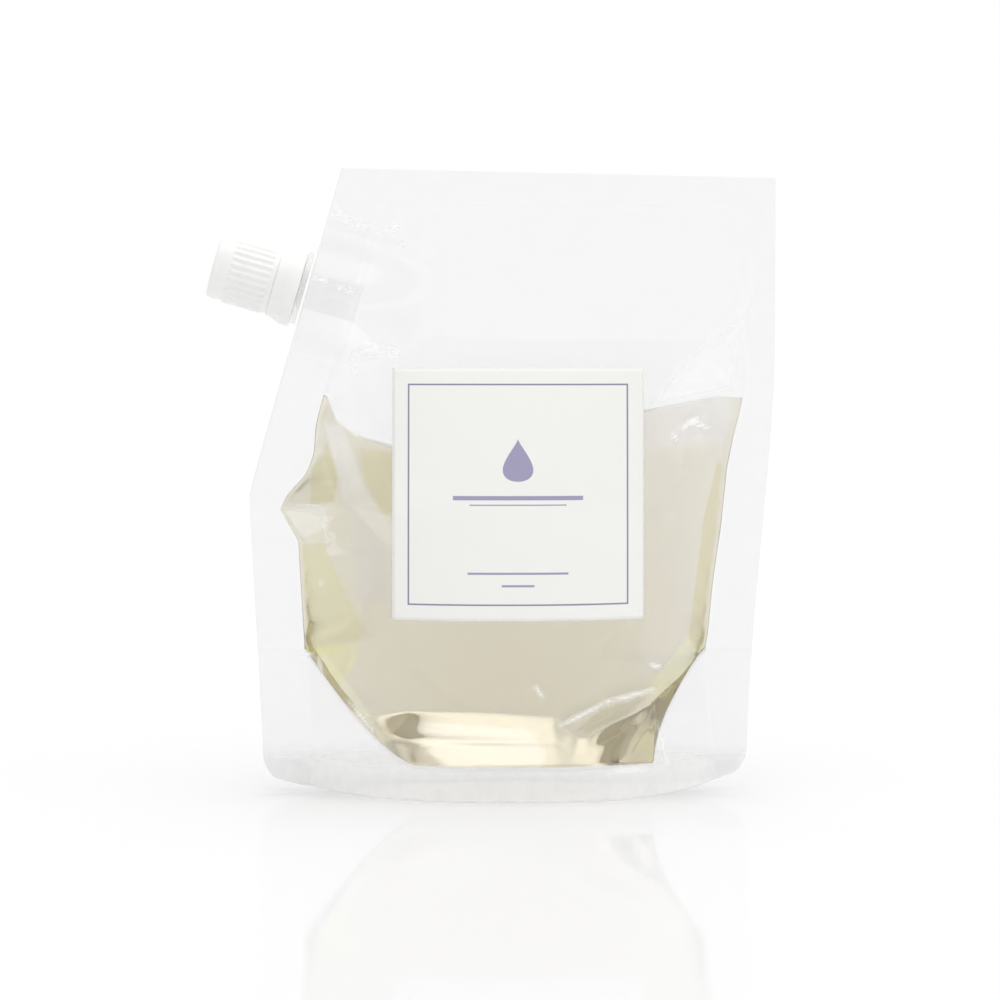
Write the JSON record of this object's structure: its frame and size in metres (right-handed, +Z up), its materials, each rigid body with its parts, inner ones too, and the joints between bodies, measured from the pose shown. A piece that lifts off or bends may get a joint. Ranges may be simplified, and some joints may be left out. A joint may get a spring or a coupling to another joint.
{
  "type": "hand soap refill pack",
  "caption": "Clear stand-up refill pouch of liquid hand soap with a gusseted base, a square label and a screw-capped corner spout.",
  "frame": {"origin": "middle of the flat gusset floor, on the surface that the pouch stands on", "axes": "+Z up, +X to the right of someone facing the label, -Y out of the label, so the spout is at the upper -X corner"},
  "size_m": [0.1474, 0.0392, 0.1633],
  "materials": {
    "clear_film": "clear laminated film, glossy",
    "liquid_soap": "clear pale yellow liquid",
    "label_paper": "smooth coated paper, satin",
    "moulded_spout": "moulded polyethylene, natural white",
    "moulded_cap": "moulded polyethylene, white satin",
    "liner_foam": "foamed polyethylene sheet"
  },
  "bodies": {
    "pack": {"front_panel": "clear_film", "back_panel": "clear_film", "bottom_gusset": "clear_film", "liquid_soap": "liquid_soap", "front_label": "label_paper", "spout": "moulded_spout", "tamper_band": "moulded_cap"},
    "cap_liner": {"cap_liner": "liner_foam"},
    "cap": {"cap": "moulded_cap"}
  },
  "joints": [
    {"name": "cap_lift", "type": "slide", "parent": "pack", "child": "cap_liner", "axis": [-0.9605, 0, 0.2781], "range_m": [0, 0.00751]},
    {"name": "cap_turn", "type": "hinge", "parent": "cap_liner", "child": "cap", "pos_m": [-0.05291, 0, 0.1315], "axis": [-0.9605, 0, 0.2781], "range_deg": [0, 900]}
  ],
  "couplings": [
    {"joint": "cap_lift", "follows": "cap_turn", "m_per_rad": 0.00047746}
  ]
}
